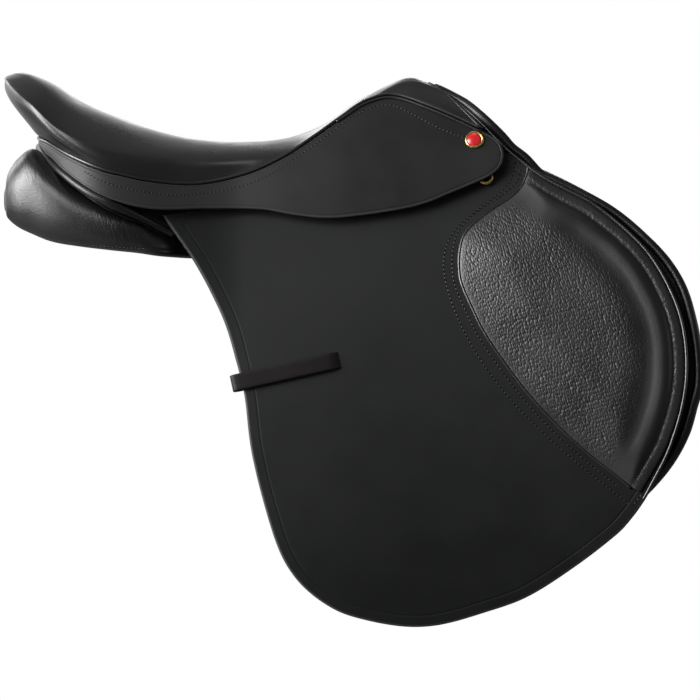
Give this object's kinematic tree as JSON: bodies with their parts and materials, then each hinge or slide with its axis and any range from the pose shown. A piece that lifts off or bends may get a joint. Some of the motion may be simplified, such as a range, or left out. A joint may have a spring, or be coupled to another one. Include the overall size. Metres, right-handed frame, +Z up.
{
  "type": "english jumping saddle",
  "caption": "Black leather close-contact jumping saddle with forward flaps, knee pads, skirts, flocked panels, girth billets, stirrup bars and a sprung wooden tree.",
  "frame": {"origin": "on the centre line under the lowest part of the seat, level with the middle of the two panels' undersides", "axes": "+X towards the horse's head, +Y to the horse's left side, +Z up"},
  "size_m": [0.6639, 0.3724, 0.5171],
  "materials": {
    "seat_leather": "smooth black leather, lightly polished",
    "flap_leather": "matt black leather",
    "grain_leather": "pebble-grained black leather",
    "strap_leather": "dark brown-black strap leather",
    "lining_leather": "smooth black lining leather",
    "foam": "pale yellow seat foam",
    "webbing": "natural woven webbing",
    "beech": "bonded beech",
    "steel": "plain steel",
    "brass": "polished brass",
    "enamel": "red enamel on a domed nail"
  },
  "bodies": {
    "saddle": {"buckle_guard_left": "lining_leather", "buckle_guard_right": "lining_leather", "catch_rivet_left": "steel", "catch_rivet_right": "steel", "dee_loop_left": "strap_leather", "dee_loop_right": "strap_leather", "flap_top_left": "flap_leather", "flap_top_right": "flap_leather", "front_block_left": "lining_leather", "front_block_right": "lining_leather", "girth_web_front": "webbing", "girth_web_rear": "webbing", "head_facing": "lining_leather", "head_plate": "steel", "panel_front_roll": "lining_leather", "panel_left": "grain_leather", "panel_right": "grain_leather", "pommel_binding": "flap_leather", "rear_panel_welt": "seat_leather", "seat_cover": "seat_leather", "seat_foam": "foam", "seat_web_left": "webbing", "seat_web_right": "webbing", "seat_welt_left": "seat_leather", "seat_welt_right": "seat_leather", "skirt_stud_left": "enamel", "skirt_stud_right": "enamel", "skirt_top_left": "flap_leather", "skirt_top_right": "flap_leather", "spring_steel_left": "steel", "spring_steel_right": "steel", "stirrup_bar_left": "steel", "stirrup_bar_right": "steel", "sweat_flap_left": "lining_leather", "sweat_flap_right": "lining_leather", "tree_cantle": "beech", "tree_head": "beech", "tree_rail_left": "beech", "tree_rail_right": "beech"},
    "flap_left": {"flap_left": "flap_leather", "knee_pad_left": "grain_leather", "keeper_strap_left": "strap_leather"},
    "skirt_left": {"skirt_left": "flap_leather"},
    "catch_left": {"bar_catch_left": "steel"},
    "dee_left": {"front_dee_left": "brass"},
    "billet_front_left": {"billet_front_left": "strap_leather"},
    "billet_middle_left": {"billet_middle_left": "strap_leather"},
    "billet_rear_left": {"billet_rear_left": "strap_leather"},
    "flap_right": {"flap_right": "flap_leather", "knee_pad_right": "grain_leather", "keeper_strap_right": "strap_leather"},
    "skirt_right": {"skirt_right": "flap_leather"},
    "catch_right": {"bar_catch_right": "steel"},
    "dee_right": {"front_dee_right": "brass"},
    "billet_front_right": {"billet_front_right": "strap_leather"},
    "billet_middle_right": {"billet_middle_right": "strap_leather"},
    "billet_rear_right": {"billet_rear_right": "strap_leather"}
  },
  "joints": [
    {"name": "flap_fold_left", "type": "hinge", "parent": "saddle", "child": "flap_left", "pos_m": [-0.0533, 0.11714, 0.00946], "axis": [0.9785, -0.0791, 0.1905], "range_deg": [0, 95]},
    {"name": "skirt_fold_left", "type": "hinge", "parent": "saddle", "child": "skirt_left", "pos_m": [-0.016, 0.09999, 0.0575], "axis": [0.9725, -0.0835, 0.2174], "range_deg": [0, 75]},
    {"name": "catch_pivot_left", "type": "hinge", "parent": "saddle", "child": "catch_left", "pos_m": [0.13284, 0.0684, 0.07128], "axis": [-0.0106, 0.9233, 0.384], "range_deg": [0, 60]},
    {"name": "dee_swing_left", "type": "hinge", "parent": "saddle", "child": "dee_left", "pos_m": [0.22341, 0.08158, 0.08602], "axis": [0.9983, 0.0587, 0.0001], "range_deg": [0, 11]},
    {"name": "billet_front_swing_left", "type": "hinge", "parent": "saddle", "child": "billet_front_left", "pos_m": [0.105, 0.08259, 0.04208], "axis": [0, -1, 0], "range_deg": [-5, 5]},
    {"name": "billet_middle_swing_left", "type": "hinge", "parent": "saddle", "child": "billet_middle_left", "pos_m": [0.069, 0.08259, 0.04208], "axis": [0, -1, 0], "range_deg": [-5, 5]},
    {"name": "billet_rear_swing_left", "type": "hinge", "parent": "saddle", "child": "billet_rear_left", "pos_m": [0.033, 0.08259, 0.04208], "axis": [0, -1, 0], "range_deg": [-5, 5]},
    {"name": "flap_fold_right", "type": "hinge", "parent": "saddle", "child": "flap_right", "pos_m": [-0.0533, -0.11714, 0.00946], "axis": [-0.9785, -0.0791, -0.1905], "range_deg": [0, 95]},
    {"name": "skirt_fold_right", "type": "hinge", "parent": "saddle", "child": "skirt_right", "pos_m": [-0.016, -0.09999, 0.0575], "axis": [-0.9725, -0.0835, -0.2174], "range_deg": [0, 75]},
    {"name": "catch_pivot_right", "type": "hinge", "parent": "saddle", "child": "catch_right", "pos_m": [0.13284, -0.0684, 0.07128], "axis": [0.0106, 0.9233, -0.384], "range_deg": [0, 60]},
    {"name": "dee_swing_right", "type": "hinge", "parent": "saddle", "child": "dee_right", "pos_m": [0.22341, -0.08158, 0.08602], "axis": [-0.9983, 0.0587, -0.0001], "range_deg": [0, 11]},
    {"name": "billet_front_swing_right", "type": "hinge", "parent": "saddle", "child": "billet_front_right", "pos_m": [0.105, -0.08259, 0.04208], "axis": [0, -1, 0], "range_deg": [-5, 5]},
    {"name": "billet_middle_swing_right", "type": "hinge", "parent": "saddle", "child": "billet_middle_right", "pos_m": [0.069, -0.08259, 0.04208], "axis": [0, -1, 0], "range_deg": [-5, 5]},
    {"name": "billet_rear_swing_right", "type": "hinge", "parent": "saddle", "child": "billet_rear_right", "pos_m": [0.033, -0.08259, 0.04208], "axis": [0, -1, 0], "range_deg": [-5, 5]}
  ],
  "couplings": [
    {"joint": "billet_middle_swing_left", "follows": "billet_front_swing_left", "ratio": 1},
    {"joint": "billet_rear_swing_left", "follows": "billet_front_swing_left", "ratio": 1},
    {"joint": "billet_middle_swing_right", "follows": "billet_front_swing_right", "ratio": 1},
    {"joint": "billet_rear_swing_right", "follows": "billet_front_swing_right", "ratio": 1}
  ]
}
